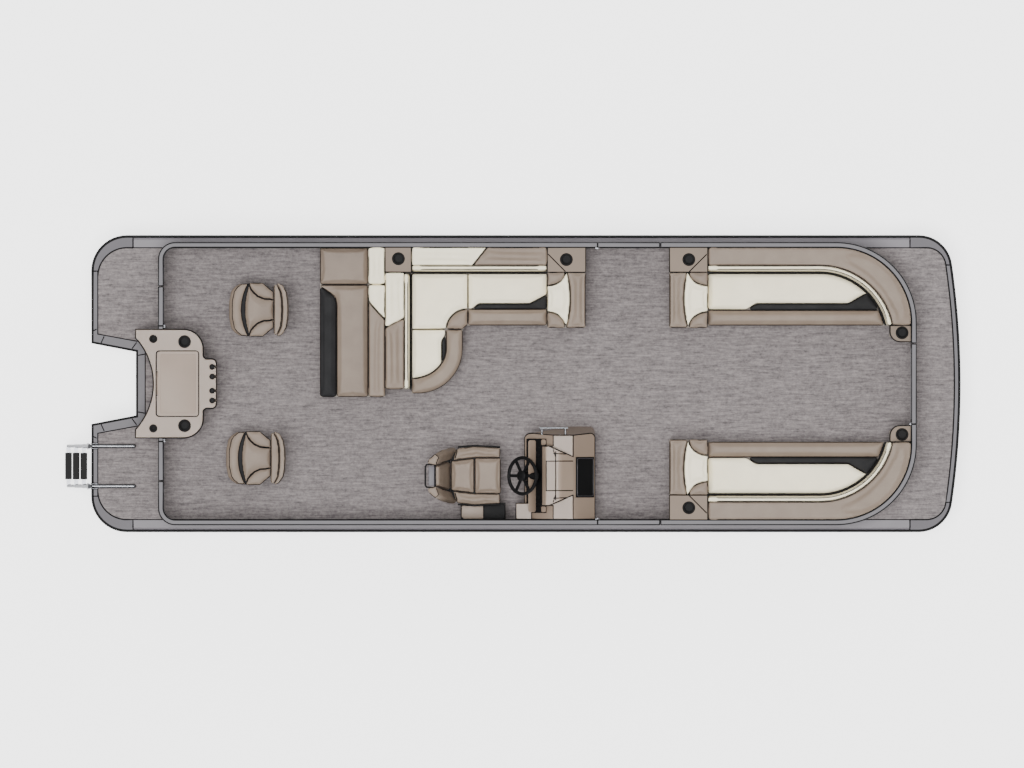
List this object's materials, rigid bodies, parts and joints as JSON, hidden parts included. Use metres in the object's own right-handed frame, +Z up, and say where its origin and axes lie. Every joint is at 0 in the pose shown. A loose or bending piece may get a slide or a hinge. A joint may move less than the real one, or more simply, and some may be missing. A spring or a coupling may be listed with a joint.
{
  "type": "pontoon boat",
  "caption": "Open deck boat on two flotation tubes with fenced lounge seating, helm console, swivel chairs, stern station, inward gates and a folding stern ladder.",
  "frame": {"origin": "under the middle of the boat, on the ground at the keels", "axes": "+X to the bow, +Y to port, +Z up"},
  "size_m": [7.8706, 2.59, 1.772],
  "materials": {
    "tube_metal": "satin mill",
    "frame_metal": "mill",
    "deck_vinyl": "woven vinyl, mottled grey",
    "trim_grey": "satin anodised grey",
    "cap_grey": "satin moulded",
    "rail_grey": "satin powder coat",
    "skin_panel": "gloss",
    "steel": "polished stainless",
    "pedestal_metal": "satin anodised",
    "base_plastic": "moulded grain",
    "pod_plastic": "soft gloss",
    "cream_vinyl": "soft marine vinyl, cream",
    "tan_vinyl": "soft marine vinyl, tan",
    "console_plastic": "gel coat",
    "black_plastic": "fine grain",
    "station_plastic": "gel coat",
    "lid_plastic": "gel coat"
  },
  "bodies": {
    "hull": {"tube_port": "tube_metal", "tube_starboard": "tube_metal", "cross_members": "frame_metal", "motor_pod": "frame_metal", "deck": "deck_vinyl", "side_trims": "trim_grey", "bow_trim": "trim_grey", "corner_caps": "cap_grey", "stern_trim": "trim_grey", "gate_hinges": "steel", "cup_pods": "pod_plastic", "lounge_base": "base_plastic", "lounge_seats": "cream_vinyl", "lounge_backs": "tan_vinyl", "lounge_arm": "cream_vinyl", "bench_base": "base_plastic", "bench_seats": "tan_vinyl", "bench_backs": "tan_vinyl", "console": "console_plastic", "console_panel": "black_plastic", "console_rail": "steel", "dash": "black_plastic", "side_box": "console_plastic", "pedestals": "pedestal_metal", "station": "station_plastic", "ladder_rails": "steel", "fence_aft_port": "rail_grey", "fence_aft_starboard": "rail_grey", "skin_aft_port": "skin_panel", "skin_aft_starboard": "skin_panel", "fence_bow_port": "rail_grey", "fence_bow_starboard": "rail_grey", "skin_bow_port": "skin_panel", "skin_bow_starboard": "skin_panel", "bow_base_port": "base_plastic", "bow_base_starboard": "base_plastic", "bow_seat_port": "cream_vinyl", "bow_seat_starboard": "cream_vinyl", "bow_back_port": "tan_vinyl", "bow_back_starboard": "tan_vinyl", "bow_arm_port": "cream_vinyl", "bow_arm_starboard": "cream_vinyl"},
    "gate_side_port": {"gate_side_port": "rail_grey"},
    "gate_side_starboard": {"gate_side_starboard": "rail_grey"},
    "gate_stern_port": {"gate_stern_port": "rail_grey"},
    "gate_stern_starboard": {"gate_stern_starboard": "rail_grey"},
    "gate_bow": {"gate_bow": "rail_grey"},
    "wheel": {"steering_wheel": "black_plastic"},
    "helm_chair": {"helm_seat": "cream_vinyl", "helm_back": "tan_vinyl"},
    "chair_port": {"chair_seat_port": "tan_vinyl", "chair_back_port": "tan_vinyl"},
    "chair_starboard": {"chair_seat_starboard": "tan_vinyl", "chair_back_starboard": "tan_vinyl"},
    "lid": {"station_lid": "lid_plastic"},
    "ladder": {"ladder": "steel", "ladder_treads": "black_plastic"}
  },
  "joints": [
    {"name": "side_gate_port_hinge", "type": "hinge", "parent": "hull", "child": "gate_side_port", "pos_m": [0.75, 1.184, 1.212], "axis": [0, 0, -1], "range_deg": [0, 83]},
    {"name": "side_gate_starboard_hinge", "type": "hinge", "parent": "hull", "child": "gate_side_starboard", "pos_m": [0.75, -1.184, 1.212], "axis": [0, 0, 1], "range_deg": [0, 83]},
    {"name": "stern_gate_port_hinge", "type": "hinge", "parent": "hull", "child": "gate_stern_port", "pos_m": [-3.045, 0.506, 1.212], "axis": [0, 0, -1], "range_deg": [0, 75]},
    {"name": "stern_gate_starboard_hinge", "type": "hinge", "parent": "hull", "child": "gate_stern_starboard", "pos_m": [-3.045, -0.506, 1.212], "axis": [0, 0, 1], "range_deg": [0, 75]},
    {"name": "bow_gate_hinge", "type": "hinge", "parent": "hull", "child": "gate_bow", "pos_m": [3.49, -0.355, 1.212], "axis": [0, 0, 1], "range_deg": [0, 81]},
    {"name": "steering", "type": "hinge", "parent": "hull", "child": "wheel", "pos_m": [0.092, -0.807, 1.612], "axis": [-0.6561, 0, 0.7547], "range_deg": [-540, 540]},
    {"name": "helm_swivel", "type": "hinge", "parent": "hull", "child": "helm_chair", "pos_m": [-0.35, -0.807, 1.177], "axis": [0, 0, 1], "range_deg": [-60, 60]},
    {"name": "port_chair_swivel", "type": "hinge", "parent": "hull", "child": "chair_port", "pos_m": [-2.222, 0.648, 1.152], "axis": [0, 0, 1], "continuous": true},
    {"name": "starboard_chair_swivel", "type": "hinge", "parent": "hull", "child": "chair_starboard", "pos_m": [-2.248, -0.653, 1.152], "axis": [0, 0, 1], "continuous": true},
    {"name": "lid_hinge", "type": "hinge", "parent": "hull", "child": "lid", "pos_m": [-3.106, 0, 1.539], "axis": [0, -1, 0], "range_deg": [0, 90]},
    {"name": "ladder_fold", "type": "hinge", "parent": "hull", "child": "ladder", "pos_m": [-3.716, -0.725, 0.884], "axis": [0, 1, 0], "range_deg": [0, 250]}
  ]
}
